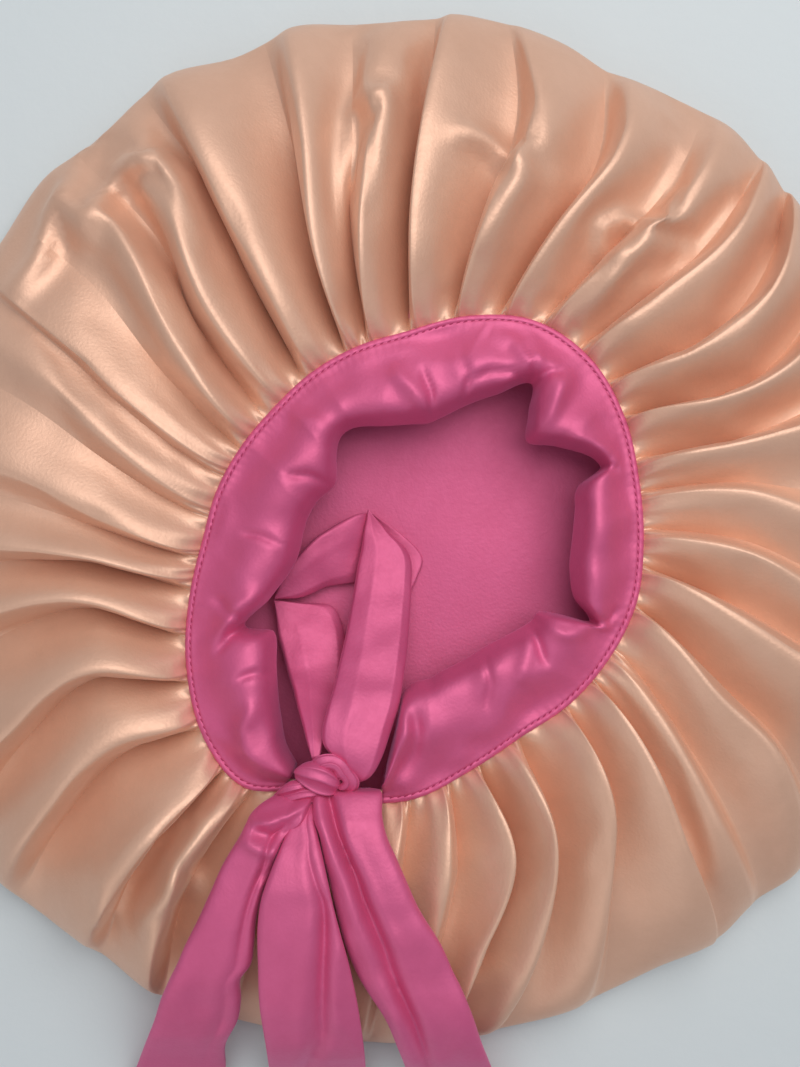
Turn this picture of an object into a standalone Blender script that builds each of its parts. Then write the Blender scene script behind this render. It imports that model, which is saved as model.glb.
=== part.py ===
"""Satin sleep bonnet lying on its crown, with its opening up and its ties knotted in a bow.

The frame: the bonnet rests on z = 0, x runs to the right, y runs away from the bow's ties and z up.
The origin is under the middle of the crown. All lengths are in metres and all angles in degrees,
counter-clockwise from +x as seen from above.
"""
import math

import bpy
import bmesh
from mathutils import Vector
from mathutils.bvhtree import BVHTree

# Crown, the outer bag
SEAM_R = 0.0885          # mean radius of the seam round the opening
SEAM_H = 0.034           # height of the seam
TUCK = 0.005             # cloth of crown and lining that the band holds
RIM_R = 0.2025           # mean radius of the puffed crown
CROWN_H = 0.043          # height of the puffed crown between seam and rim
FOLD_H = 0.010           # height of a full fold, from its valley to its crest
CROWN_WALL = 0.0012

# Lining, the inner bag
LINING_WALL = 0.0010
LINING_SAG = 0.005       # how far the lining hangs below the seam
LINING_IN = 0.006        # how far the lining stays inside the crown at the rim

# Band, a strip folded in half round the edges of crown and lining
BAND_WIDTH = 0.032       # mean width, from the seam to the fold at its inner edge
BAND_PUFF = 0.008        # rise of its upper layer above the seam
BAND_DROP = 0.004        # fall of its fold below the seam
BAND_WALL = 0.0010

# Knot and ties
KNOT_LENGTH = 0.025      # along x
KNOT_DEPTH = 0.017       # along y
KNOT_HEIGHT = 0.016
KNOT_WRAP = 1.05         # how far the wraps of the knot stand out, as a share of its size
KNOT_DEG = 250.5         # where the knot lies on the seam
KNOT_INSET = 0.007       # from the seam to the middle of the knot
TIE_WIDTH = 0.036        # a tie as it lies, folded along its length
TIE_WALL = 0.0020
TAIL_REACH = 0.140       # along y, from the knot's middle to the ends of the tails
LOOP_REACH = 0.130       # the same, to the fold of the lower loop
LOOP_GAP = 0.0030        # between the two layers of the lower loop
UPPER_REACH = 0.090      # along y, from the knot's middle to the peak of the upper loop
UPPER_WIDTH = 0.027
THROAT = 0.0055          # width of a tie where it leaves the knot
GAP = 0.0004             # between pieces that touch

CREST_LEVEL = 0.45       # share of a fold that lies below the level of the puffed crown
HALF_WAY = 0.45          # share of the way out at which a fold's second angle is read
FADE = 0.4               # share of the way out over which a fold fades where it runs out
FADED = 0.2              # what is left of a fold past that

FOLD_COLUMNS = 3         # columns of the mesh in each fold
LINING_COLUMNS = 40
BAND_STEPS = 50
LAID_STEPS = 16          # steps of a strip laid over the crown
LOOP_STEPS = 22          # steps of the upper loop
SOUNDINGS = 8            # soundings across a strip, and along each of its steps, as it is laid
OVERHANG = 1.1           # share of a strip's width that is sounded
KNOT_SOUNDINGS = 30      # soundings along each side of the knot, as it is set down

# Outline of the seam: degrees, share of SEAM_R
SEAM = [
    (0, 0.980), (15, 0.995), (30, 1.040), (45, 1.075), (60, 1.060), (75, 0.972), (90, 0.876),
    (105, 0.838), (120, 0.810), (135, 0.790), (150, 0.800), (165, 0.826), (180, 0.860), (195, 0.948),
    (210, 1.070), (225, 1.195), (236, 1.238), (245, 1.155), (255, 1.118), (270, 1.082), (285, 0.992),
    (300, 0.942), (315, 0.956), (330, 0.970), (345, 0.985),
]

# Outline of the crown seen from above: degrees, share of RIM_R
RIM = [
    (0, 1.005), (20, 0.998), (41, 0.992), (52, 1.011), (65, 0.985), (73, 1.008), (84, 1.020), (93, 1.000),
    (102, 1.015), (110, 0.994), (118, 1.011), (127, 0.979), (135, 0.992), (145, 0.975), (162, 0.998),
    (180, 1.010), (200, 1.016), (221, 1.025), (230, 0.995), (242, 1.000), (253, 0.976), (270, 0.968),
    (285, 0.960), (300, 0.954), (308, 0.975), (313, 0.966), (319, 0.984), (335, 0.998), (350, 1.004),
]

# Crown from the seam outwards and under: share of the way out to the rim, share of the rise from
# SEAM_H to CROWN_H, share of that height which is kept, share of FOLD_H
CROWN_PROFILE = [
    (0.00, 0.00, 1.00, 0.00), (0.03, 0.15, 1.00, 0.35), (0.08, 0.35, 1.00, 0.75), (0.18, 0.70, 1.00, 1.00),
    (0.31, 0.95, 1.00, 1.00), (0.45, 1.00, 1.00, 1.00), (0.59, 1.00, 0.96, 0.95), (0.72, 1.00, 0.88, 0.85),
    (0.84, 1.00, 0.73, 0.75), (0.94, 1.00, 0.52, 0.50), (1.00, 1.00, 0.24, 0.00), (0.985, 1.00, 0.09, 0.00),
    (0.94, 1.00, 0.02, 0.00), (0.88, 1.00, 0.00, 0.00),
]

# Folds of the crown: degrees at the seam, half-way and at the rim, share of FOLD_H, and the share of
# the way to the rim where the fold runs out
FOLDS = [
    (87.0, 87.5, 85.0, 1.0, 1.0), (99.6, 94.8, 92.0, 1.0, 0.8), (106.0, 104.6, 102.5, 0.9, 1.0),
    (117.8, 118.0, 118.0, 0.9, 1.0), (131.0, 125.5, 127.0, 0.9, 0.9), (145.4, 134.0, 135.0, 1.0, 1.0),
    (157.7, 149.8, 146.0, 0.4, 0.8), (169.6, 155.7, 153.0, 0.4, 0.7), (182.0, 169.8, 168.0, 0.5, 0.6),
    (189.0, 180.4, 179.0, 0.6, 0.6), (201.0, 188.0, 194.0, 0.8, 0.7), (210.6, 201.0, 212.0, 0.9, 0.8),
    (219.5, 212.0, 220.0, 1.0, 0.9), (229.3, 228.0, 231.0, 0.9, 0.9), (235.3, 234.5, 240.0, 0.9, 0.7),
    (246.0, 246.0, 247.5, 0.7, 0.7), (257.0, 256.5, 256.0, 0.6, 0.7), (268.0, 266.0, 264.0, 0.5, 0.6),
    (277.5, 274.5, 271.0, 0.5, 0.6), (285.7, 284.0, 275.0, 0.9, 0.6), (296.0, 290.0, 279.0, 1.0, 0.8),
    (312.0, 301.6, 289.0, 1.0, 0.9), (323.3, 313.4, 307.0, 1.0, 1.0), (327.5, 318.5, 313.0, 0.6, 0.8),
    (342.0, 330.3, 319.0, 0.9, 1.0), (351.5, 344.0, 340.0, 0.8, 0.6), (360.0, 352.7, 350.0, 0.7, 0.5),
    (372.0, 365.5, 362.0, 0.4, 0.5), (376.6, 375.6, 376.0, 0.8, 0.6), (388.3, 382.8, 393.0, 1.0, 0.8),
    (396.6, 391.4, 401.0, 1.0, 1.0), (405.8, 402.8, 407.0, 0.9, 1.0), (416.3, 411.0, 414.0, 0.7, 0.7),
    (425.7, 424.3, 428.6, 0.9, 1.0), (437.0, 433.0, 437.0, 0.8, 0.7),
]

# Lining from the seam outwards and under: share of the way out, share of LINING_SAG, share of the
# height above its floor
LINING_PROFILE = [
    (0.00, 0.00, 1.00), (0.12, 0.70, 1.00), (0.30, 1.00, 1.00), (0.60, 1.00, 0.96), (0.82, 1.00, 0.80),
    (0.95, 1.00, 0.56), (1.00, 1.00, 0.34), (0.97, 1.00, 0.14), (0.84, 1.00, 0.00),
]

# Width of the band: degrees, share of BAND_WIDTH; the small shares are pinches in its fold
BAND = [
    (264, 0.30), (265.5, 0.70), (268, 1.24), (280, 1.20), (297, 1.08), (313, 1.06), (327, 0.95), (332, 0.92),
    (334.5, 0.66), (336, 0.36), (341, 0.65), (350, 0.79), (360, 0.78), (371, 0.73), (378, 0.66),
    (381, 0.36), (392, 0.80), (400, 1.13), (407, 0.90), (412, 0.62), (419, 0.93), (429, 1.13), (439, 1.19),
    (450, 1.05), (462, 0.95), (482, 0.76), (501, 1.09), (517, 1.07), (536, 1.10), (553, 1.18),
    (563, 1.00), (567, 0.72), (574, 1.14), (583.5, 1.13), (594, 0.87), (601, 0.44), (603.5, 0.28),
]

# Section of the band from its sewn upper edge, round the fold, to its sewn lower edge: share of the
# width, share of the way down from the upper edge to the lower one, share of BAND_PUFF, share of
# BAND_DROP
BAND_SECTION = [
    (0.00, 0.0, 0.00, 0.00), (0.20, 0.0, 0.45, 0.00), (0.42, 0.0, 0.85, 0.00), (0.66, 0.0, 1.00, 0.00),
    (0.86, 0.2, 0.55, 0.10), (0.97, 0.5, 0.12, 0.55), (1.00, 0.8, 0.00, 1.00), (0.95, 1.0, 0.00, 1.60),
    (0.70, 1.0, 0.00, 1.45), (0.35, 1.0, 0.00, 0.70), (0.00, 1.0, 0.00, 0.00),
]

# Routes of what lies over the crown, from the knot: share of the reach along -y, share of the reach
# along x, share of TIE_WIDTH
TAIL_LEFT = [
    (0.09, -0.13, 0.30), (0.16, -0.17, 0.44), (0.27, -0.21, 0.52), (0.36, -0.24, 0.60), (0.46, -0.28, 0.70),
    (0.54, -0.32, 0.78), (0.64, -0.35, 0.86), (0.75, -0.39, 0.92), (0.82, -0.42, 0.84), (0.89, -0.43, 0.95),
    (1.00, -0.45, 1.00),
]
TAIL_RIGHT = [
    (0.10, 0.06, 0.34), (0.16, 0.08, 0.55), (0.25, 0.11, 0.66), (0.46, 0.18, 0.80), (0.58, 0.23, 0.82),
    (0.70, 0.27, 0.84), (0.80, 0.31, 0.84), (0.90, 0.34, 0.86), (1.00, 0.37, 0.88),
]
LOOP_LOWER = [
    (0.12, -0.03, 0.26), (0.20, -0.06, 0.46), (0.33, -0.08, 0.62), (0.41, -0.08, 0.74), (0.50, -0.07, 0.86),
    (0.60, -0.06, 0.96), (0.72, -0.06, 1.00), (0.86, -0.05, 1.02), (0.94, -0.05, 1.00), (1.00, -0.05, 0.90),
]

# Fold at the end of the lower loop: shares of its thickness past the end of its route, and upwards
LOOP_FOLD = [(0.35, 0.15), (0.50, 0.50), (0.35, 0.85)]

# Underside of a tail from its left edge: share of its width, rise as a share of its width
TAIL_SECTION = [(0.50, 0.00), (0.25, 0.09), (0.00, 0.03), (-0.25, 0.07), (-0.50, 0.00)]

# Route of the upper loop, from the knot to its peak and back: share of UPPER_REACH along y, share of
# it along x, share of the rise from the lining to the knot, share of UPPER_WIDTH, degrees of lean
LOOP_UPPER = [
    (0.22, 0.13, 0.92, 0.86, 0), (0.38, 0.16, 0.78, 1.00, 0), (0.58, 0.17, 0.58, 1.00, 8),
    (0.76, 0.18, 0.36, 1.00, 28), (0.90, 0.19, 0.14, 0.96, 52), (1.00, 0.15, 0.04, 0.92, 68),
    (1.00, 0.08, 0.00, 0.90, 70), (0.93, -0.02, 0.00, 0.90, 62), (0.82, -0.13, 0.00, 0.90, 62),
    (0.74, -0.20, 0.00, 0.86, 66), (0.66, -0.21, 0.04, 0.84, 54), (0.54, -0.14, 0.20, 0.80, 38),
    (0.38, -0.10, 0.48, 0.62, 22), (0.24, -0.08, 0.80, 0.40, 8),
]


def hermite(table, at, column, period=None):
    """The table's column at a place, on a smooth curve through the rows; it wraps where it has a period."""
    rows = table
    if period:
        first, last = table[0], table[-1]
        at = first[0] + (at - first[0]) % period
        before = (table[-1][0] - period,) + tuple(last[1:])
        beyond = (first[0] + period,) + tuple(first[1:])
        second = (table[1][0] + period,) + tuple(table[1][1:])
        rows = [before] + list(table) + [beyond, second]
    at = min(max(at, rows[0][0]), rows[-1][0])
    index = max(k for k in range(len(rows) - 1) if rows[k][0] <= at)
    low, high = rows[index], rows[index + 1]
    span = high[0] - low[0]
    t = (at - low[0]) / span

    def slope(k):
        a, b = rows[max(k - 1, 0)], rows[min(k + 1, len(rows) - 1)]
        return (b[column] - a[column]) / (b[0] - a[0])

    square, cube = t * t, t * t * t
    return ((2 * cube - 3 * square + 1) * low[column] + (cube - 2 * square + t) * span * slope(index)
            + (3 * square - 2 * cube) * high[column] + (cube - square) * span * slope(index + 1))


def polar(degrees, radius, height):
    turn = math.radians(degrees)
    return Vector((radius * math.cos(turn), radius * math.sin(turn), height))


def seam_radius(degrees):
    return SEAM_R * hermite(SEAM, degrees, 1, 360)


def rim_radius(degrees):
    return RIM_R * hermite(RIM, degrees, 1, 360)


def satin(name, colour, roughness):
    material = bpy.data.materials.new(name)
    material.use_nodes = True
    shader = material.node_tree.nodes["Principled BSDF"]
    shader.inputs["Base Color"].default_value = (*colour, 1)
    shader.inputs["Roughness"].default_value = roughness
    shader.inputs["Metallic"].default_value = 0.0
    return material


def make_object(name, bm, material):
    mesh = bpy.data.meshes.new(name)
    bm.to_mesh(mesh)
    bm.free()
    mesh.materials.append(material)
    mesh.shade_smooth()
    obj = bpy.data.objects.new(name, mesh)
    bpy.context.collection.objects.link(obj)
    return obj


def cloth(name, rings, wall, material, closed=False, pole=None):
    """A sheet through rings of points, given a wall on its inner side; the wall lies behind the faces.

    Closed rings meet themselves, and a pole closes the sheet after its last ring."""
    bm = bmesh.new()
    grid = [[bm.verts.new(point) for point in ring] for ring in rings]
    around = len(rings[0])
    for inner, outer in zip(grid, grid[1:]):
        for k in range(around if closed else around - 1):
            following = (k + 1) % around
            bm.faces.new((inner[k], outer[k], outer[following], inner[following]))
    if pole is not None:
        centre = bm.verts.new(pole)
        for k in range(around):
            bm.faces.new((grid[-1][k], centre, grid[-1][(k + 1) % around]))
    obj = make_object(name, bm, material)
    solidify = obj.modifiers.new("wall", "SOLIDIFY")
    solidify.thickness = wall
    solidify.offset = -1.0
    return obj


def crown_columns():
    """Each column of the crown: its degrees at seam, half-way and rim, its fold height and its reach."""
    columns = []
    for k, row in enumerate(FOLDS):
        following = FOLDS[(k + 1) % len(FOLDS)]
        turn = 360 if k == len(FOLDS) - 1 else 0
        for step in range(FOLD_COLUMNS):
            t = step / FOLD_COLUMNS
            angles = [a + (b + turn - a) * t for a, b in zip(row[:3], following[:3])]
            height, reach = [a + (b - a) * t for a, b in zip(row[3:], following[3:])]
            crest = 0.5 + 0.5 * math.cos(2 * math.pi * t) - CREST_LEVEL
            columns.append((angles, height * crest, reach))
    return columns


def column_degrees(angles, out):
    """Degrees of a column at a share of the way out, on a parabola through its three angles."""
    seam, half, rim = angles
    return (seam * (out - HALF_WAY) * (out - 1) / HALF_WAY
            + half * out * (out - 1) / (HALF_WAY * (HALF_WAY - 1))
            + rim * out * (out - HALF_WAY) / (1 - HALF_WAY))


def make_crown(material):
    columns = crown_columns()
    rings = [[polar(angles[0], seam_radius(angles[0]) - TUCK, SEAM_H) for angles, crest, reach in columns]]
    passed_rim = False
    for out, rise, kept, fold in CROWN_PROFILE:
        ring = []
        for angles, crest, reach in columns:
            degrees = column_degrees(angles, 1.0 if passed_rim else out)
            inner, outer = seam_radius(degrees), rim_radius(degrees)
            fading = min(max((reach + FADE / 2 - out) / FADE, FADED), 1.0)
            height = kept * (SEAM_H + rise * (CROWN_H - SEAM_H)) + FOLD_H * fold * crest * fading
            ring.append(polar(degrees, inner + out * (outer - inner), height))
        rings.append(ring)
        passed_rim = passed_rim or out == 1.0
    return cloth("crown", rings, CROWN_WALL, material, closed=True, pole=(0, 0, 0))


def make_lining(material):
    top = SEAM_H - CROWN_WALL - GAP
    floor = CROWN_WALL + GAP
    angles = [360 * k / LINING_COLUMNS for k in range(LINING_COLUMNS)]
    rings = [[polar(a, seam_radius(a) - TUCK, top) for a in angles]]
    for out, sag, kept in LINING_PROFILE:
        ring = []
        for a in angles:
            inner, outer = seam_radius(a), rim_radius(a) - LINING_IN
            height = floor + kept * (top - LINING_SAG * sag - floor)
            ring.append(polar(a, inner + out * (outer - inner), height))
        rings.append(ring)
    return cloth("lining", rings, LINING_WALL, material, closed=True, pole=(0, 0, floor))


def band_section(degrees):
    """Points of the band's section, from its sewn upper edge round the fold to its sewn lower edge."""
    width = BAND_WIDTH * hermite(BAND, degrees, 1)
    seam = seam_radius(degrees)
    swell = min(width / BAND_WIDTH, 1.0)
    upper = SEAM_H + GAP + BAND_WALL
    lower = SEAM_H - CROWN_WALL - LINING_WALL - BAND_WALL - 3 * GAP
    points = []
    for across, down, puff, drop in BAND_SECTION:
        height = upper + down * (lower - upper) + swell * (BAND_PUFF * puff - BAND_DROP * drop)
        points.append(polar(degrees, seam - across * width, height))
    return points


def make_band(material):
    first, last = BAND[0][0], BAND[-1][0]
    rings = [band_section(first + (last - first) * k / BAND_STEPS) for k in range(BAND_STEPS + 1)]
    return cloth("band", rings, BAND_WALL, material)


def height_under(supports, x, y):
    """Height of the highest support under a place, or of the surface that the bonnet lies on."""
    heights = [0.0]
    for tree in supports:
        hit = tree.ray_cast(Vector((x, y, 1.0)), Vector((0, 0, -1)))
        if hit[0] is not None:
            heights.append(hit[0].z)
    return max(heights)


def support_of(obj):
    return BVHTree.FromObject(obj, bpy.context.evaluated_depsgraph_get())


def knot_centre():
    return polar(KNOT_DEG, seam_radius(KNOT_DEG) - KNOT_INSET, SEAM_H + GAP + KNOT_HEIGHT / 2)


def make_knot(material, supports):
    bm = bmesh.new()
    bmesh.ops.create_uvsphere(bm, u_segments=16, v_segments=10, radius=0.5)
    centre = knot_centre()
    for vert in bm.verts:
        around = math.atan2(vert.co.y, vert.co.x)
        wrap = 1 + (KNOT_WRAP - 1) * math.sin(3 * around + 14 * vert.co.z)
        vert.co = Vector((vert.co.x * KNOT_LENGTH * wrap, vert.co.y * KNOT_DEPTH * wrap,
                          vert.co.z * KNOT_HEIGHT))
        vert.co += centre
    underside = BVHTree.FromBMesh(bm)
    lifts = []
    for row in range(KNOT_SOUNDINGS + 1):
        for column in range(KNOT_SOUNDINGS + 1):
            x = centre.x + KNOT_LENGTH * KNOT_WRAP * (column / KNOT_SOUNDINGS - 0.5)
            y = centre.y + KNOT_DEPTH * KNOT_WRAP * (row / KNOT_SOUNDINGS - 0.5)
            hit = underside.ray_cast(Vector((x, y, 0)), Vector((0, 0, 1)))
            if hit[0] is not None:
                lifts.append(height_under(supports, x, y) + GAP - hit[0].z)
    for vert in bm.verts:
        vert.co.z += max(lifts)
    return make_object("knot", bm, material)


def knot_edge(x, y):
    """Place beside the knot where a piece leaves it towards x and y, and the heading square to the knot."""
    centre = knot_centre()
    towards = Vector((x - centre.x, y - centre.y)).normalized()
    edge = 0.5 * KNOT_WRAP / math.hypot(towards.x / KNOT_LENGTH, towards.y / KNOT_DEPTH) + GAP
    square = Vector((towards.x / KNOT_LENGTH ** 2, towards.y / KNOT_DEPTH ** 2)).normalized()
    return Vector((centre.x + towards.x * edge, centre.y + towards.y * edge)), square


def route_points(route, reach):
    """Places and widths of a tie along its route over the crown, starting at the knot's edge."""
    centre = knot_centre()
    rows = [(centre.x + aside * reach, centre.y - along * reach, TIE_WIDTH * wide)
            for along, aside, wide in route]
    start, heading = knot_edge(rows[0][0], rows[0][1])
    return resampled([(start.x, start.y, THROAT)] + rows, LAID_STEPS), heading


def resampled(rows, count):
    """The rows of a route again, at even steps of a smooth curve through them."""
    table = [(k,) + tuple(row) for k, row in enumerate(rows)]
    steps = [(len(rows) - 1) * k / count for k in range(count + 1)]
    return [tuple(hermite(table, at, column) for column in range(1, len(table[0]))) for at in steps]


def across_route(places, first, last=None):
    """Unit vectors across a route in plan, to the left of its heading."""
    headings = [first]
    for before, after in zip(places, places[2:]):
        headings.append(Vector((after[0] - before[0], after[1] - before[1])).normalized())
    end = Vector((places[-1][0] - places[-2][0], places[-1][1] - places[-2][1])).normalized()
    headings.append(last or end)
    return [Vector((-heading.y, heading.x)) for heading in headings]


def laid_heights(places, sides, supports, thickness):
    """Heights of a strip that leaves the knot's middle and then clears all that lies under it."""
    stations = []
    for k in range(len(places) - 1):
        for step in range(SOUNDINGS):
            t = step / SOUNDINGS
            x, y, wide = [a + (b - a) * t for a, b in zip(places[k], places[k + 1])]
            side = sides[k].lerp(sides[k + 1], t) * wide
            shares = [OVERHANG * (n / SOUNDINGS - 0.5) for n in range(SOUNDINGS + 1)]
            stations.append((k + t, max(height_under(supports, x + side.x * s, y + side.y * s)
                                        for s in shares)))
    heights = []
    for k in range(len(places)):
        heights.append(max(h for at, h in stations if abs(at - k) <= 1) + GAP)
    heights[0] = max(heights[0], knot_centre().z - thickness / 2)
    return heights


def make_tail(name, route, material, supports):
    places, leaving = route_points(route, TAIL_REACH)
    sides = across_route(places, leaving)
    heights = laid_heights(places, sides, supports, TIE_WALL)
    sections = []
    for (x, y, wide), side, height in zip(places, sides, heights):
        section = []
        for share, lift in TAIL_SECTION:
            section.append((x + side.x * wide * share, y + side.y * wide * share, height + wide * lift))
        sections.append(section)
    return cloth(name, sections, TIE_WALL, material)


def make_loop_lower(material, supports):
    """The under layer runs out from the knot, turns at the fold and comes back as the upper layer."""
    places, leaving = route_points(LOOP_LOWER, LOOP_REACH)
    sides = across_route(places, leaving)
    spacing = 2 * TIE_WALL + LOOP_GAP
    heights = laid_heights(places, sides, supports, spacing)
    shares = [0.5, 0.17, -0.17, -0.5]
    under, over = [], []
    for (x, y, wide), side, height in zip(places, sides, heights):
        under.append([(x + side.x * wide * s, y + side.y * wide * s, height) for s in shares])
        over.append([(x + side.x * wide * s, y + side.y * wide * s, height + spacing) for s in shares])
    x, y, wide = places[-1]
    side = sides[-1] * wide
    fold = []
    for out, high in LOOP_FOLD:
        fold.append([(x + side.x * s, y + side.y * s - spacing * out, heights[-1] + spacing * high)
                     for s in shares])
    return cloth("loop_lower", under + fold + over[::-1], TIE_WALL, material)


def make_loop_upper(material):
    centre = knot_centre()
    floor = CROWN_WALL + LINING_WALL + 2 * GAP
    rows = []
    for along, aside, high, wide, lean in LOOP_UPPER:
        wide, lean = UPPER_WIDTH * wide, math.radians(lean)
        resting = floor + wide * math.sin(lean) / 2
        rows.append((centre.x + aside * UPPER_REACH, centre.y + along * UPPER_REACH,
                     resting + high * (centre.z - resting), wide, lean))
    start, leaving = knot_edge(rows[0][0], rows[0][1])
    end, returning = knot_edge(rows[-1][0], rows[-1][1])
    rows = [(start.x, start.y, centre.z, THROAT, 0.0)] + rows + [(end.x, end.y, centre.z, THROAT, 0.0)]
    rows = resampled(rows, LOOP_STEPS)
    sections = []
    for (x, y, z, wide, lean), side in zip(rows, across_route(rows, leaving, -returning)):
        across = Vector((side.x * math.cos(lean), side.y * math.cos(lean), math.sin(lean)))
        sections.append([Vector((x, y, z)) + across * wide * share for share in (0.5, 0.17, -0.17, -0.5)])
    return cloth("loop_upper", sections, TIE_WALL, material)


def main():
    for obj in list(bpy.data.objects):
        bpy.data.objects.remove(obj, do_unlink=True)
    peach = satin("peach_satin", (0.62, 0.37, 0.24), 0.38)
    rose = satin("rose_satin", (0.52, 0.09, 0.20), 0.38)

    crown = make_crown(peach)
    make_lining(rose)
    band = make_band(rose)
    supports = [support_of(crown)]
    make_knot(rose, supports)
    supports.append(support_of(band))
    tail_left = make_tail("tail_left", TAIL_LEFT, rose, supports)
    supports.append(support_of(tail_left))
    loop_lower = make_loop_lower(rose, supports)
    supports.append(support_of(loop_lower))
    make_tail("tail_right", TAIL_RIGHT, rose, supports)
    make_loop_upper(rose)


main()
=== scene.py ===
import math

import bmesh
import bpy
import numpy as np
from mathutils import Matrix, Vector, noise
from mathutils.bvhtree import BVHTree


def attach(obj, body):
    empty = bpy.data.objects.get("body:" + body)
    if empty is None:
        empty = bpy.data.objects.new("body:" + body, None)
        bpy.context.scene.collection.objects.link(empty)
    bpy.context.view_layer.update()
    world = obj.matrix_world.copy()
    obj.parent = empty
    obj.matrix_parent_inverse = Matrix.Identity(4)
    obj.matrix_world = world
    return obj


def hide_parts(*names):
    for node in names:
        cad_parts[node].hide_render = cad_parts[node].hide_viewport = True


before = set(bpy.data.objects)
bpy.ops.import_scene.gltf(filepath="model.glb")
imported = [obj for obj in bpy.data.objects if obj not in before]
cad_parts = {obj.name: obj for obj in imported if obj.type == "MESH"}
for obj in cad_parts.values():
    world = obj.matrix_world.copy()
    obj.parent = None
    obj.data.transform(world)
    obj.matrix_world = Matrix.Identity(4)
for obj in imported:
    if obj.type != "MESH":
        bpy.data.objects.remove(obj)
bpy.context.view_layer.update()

# Camera
# A hand-held camera looks straight down at the bonnet from half a metre.
VIEW_CENTRE = (-0.0032, 0.0028)
VIEW_HEIGHT = 0.500
VIEW_DEGREES = 46.2       # from the picture's lower edge to its upper one
camera_data = bpy.data.cameras.new("camera")
camera_data.angle = math.radians(VIEW_DEGREES)
camera = bpy.data.objects.new("camera", camera_data)
camera.location = (*VIEW_CENTRE, VIEW_HEIGHT)
bpy.context.collection.objects.link(camera)
bpy.context.scene.camera = camera

# Table and light
# A plain bluish white table under a large soft window from the near left and a brighter one that
# stands high beyond the bonnet, in a pale room.
TABLE_SIZE = 4.0
table_mesh = bmesh.new()
bmesh.ops.create_grid(table_mesh, x_segments=1, y_segments=1, size=TABLE_SIZE / 2)
table_data = bpy.data.meshes.new("table")
table_mesh.to_mesh(table_data)
table_mesh.free()
table = bpy.data.objects.new("table", table_data)
bpy.context.collection.objects.link(table)
table_white = bpy.data.materials.new("table_white")
table_white.use_nodes = True
table_shader = table_white.node_tree.nodes["Principled BSDF"]
table_shader.inputs["Base Color"].default_value = (0.65, 0.695, 0.705, 1)
table_shader.inputs["Roughness"].default_value = 0.6
table_place = table_white.node_tree.nodes.new("ShaderNodeTexCoord")
table_grain = table_white.node_tree.nodes.new("ShaderNodeTexNoise")
table_grain.inputs["Scale"].default_value = 140
table_grain.inputs["Detail"].default_value = 6
table_bump = table_white.node_tree.nodes.new("ShaderNodeBump")
table_bump.inputs["Strength"].default_value = 0.25
table_bump.inputs["Distance"].default_value = 0.0008
table_white.node_tree.links.new(table_place.outputs["Object"], table_grain.inputs["Vector"])
table_white.node_tree.links.new(table_grain.outputs["Fac"], table_bump.inputs["Height"])
table_white.node_tree.links.new(table_bump.outputs["Normal"], table_shader.inputs["Normal"])
table_data.materials.append(table_white)

room = bpy.data.worlds.new("room")
room.use_nodes = True
room.node_tree.nodes["Background"].inputs["Color"].default_value = (0.80, 0.88, 1.0, 1)
room.node_tree.nodes["Background"].inputs["Strength"].default_value = 0.33
bpy.context.scene.world = room
bpy.context.scene.view_settings.view_transform = "Standard"

# name, place, the point that it faces, width, watts, colour
LIGHTS = [
    ("near_window", (-0.90, -1.20, 0.90), (0.0, 0.0, 0.0), 1.6, 4.6, (1.0, 0.97, 0.93)),
    ("far_window", (0.30, 0.58, 1.22), (0.0, 0.0, 0.0), 1.25, 15.0, (1.0, 0.98, 0.95)),
]
for name, place, aim, width, watts, colour in LIGHTS:
    light_data = bpy.data.lights.new(name, "AREA")
    light_data.size = width
    light_data.energy = watts
    light_data.color = colour
    light = bpy.data.objects.new(name, light_data)
    light.location = place
    light.rotation_euler = (Vector(aim) - Vector(place)).to_track_quat("-Z", "Y").to_euler()
    bpy.context.collection.objects.link(light)

# Crown, the outer bag
# A disc of peach satin gathered into the seam round the opening, so that it puffs up in about
# three dozen radial folds; its edge is sewn into the band and its middle lies flat on the table.
MM = 0.001
SEEN_LEVEL = 0.035        # height at which the tables in mm were read off from above
SEAM_R = 0.0885
SEAM_H = 0.034
RIM_R = 0.2025
CROWN_H = 0.043
FOLD_H = 0.0138
CROWN_WALL = 0.0010
CROWN_COLUMNS = 630
CROWN_RINGS = 74

# Outline of the seam: degrees, share of SEAM_R
SEAM = [
    (0, 0.980), (15, 0.995), (30, 1.040), (45, 1.075), (60, 1.060), (75, 0.972), (90, 0.876),
    (105, 0.838), (120, 0.810), (135, 0.790), (150, 0.800), (165, 0.826), (180, 0.860), (195, 0.948),
    (210, 1.070), (225, 1.195), (236, 1.238), (245, 1.155), (255, 1.118), (270, 1.082), (285, 0.992),
    (300, 0.942), (315, 0.956), (330, 0.970), (345, 0.985),
]

# Outline of the crown from above: degrees, share of RIM_R
RIM = [
    (0, 1.005), (20, 0.998), (41, 0.992), (52, 1.011), (65, 0.985), (73, 1.008), (84, 1.020),
    (93, 1.000), (102, 1.015), (110, 0.994), (118, 1.011), (127, 0.979), (135, 0.992), (145, 0.975),
    (162, 0.998), (180, 1.010), (200, 1.016), (221, 1.025), (230, 0.995), (242, 1.000), (253, 0.976),
    (270, 0.968), (285, 0.960), (300, 0.954), (308, 0.975), (313, 0.966), (319, 0.984), (335, 0.998),
    (350, 1.004),
]

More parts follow.
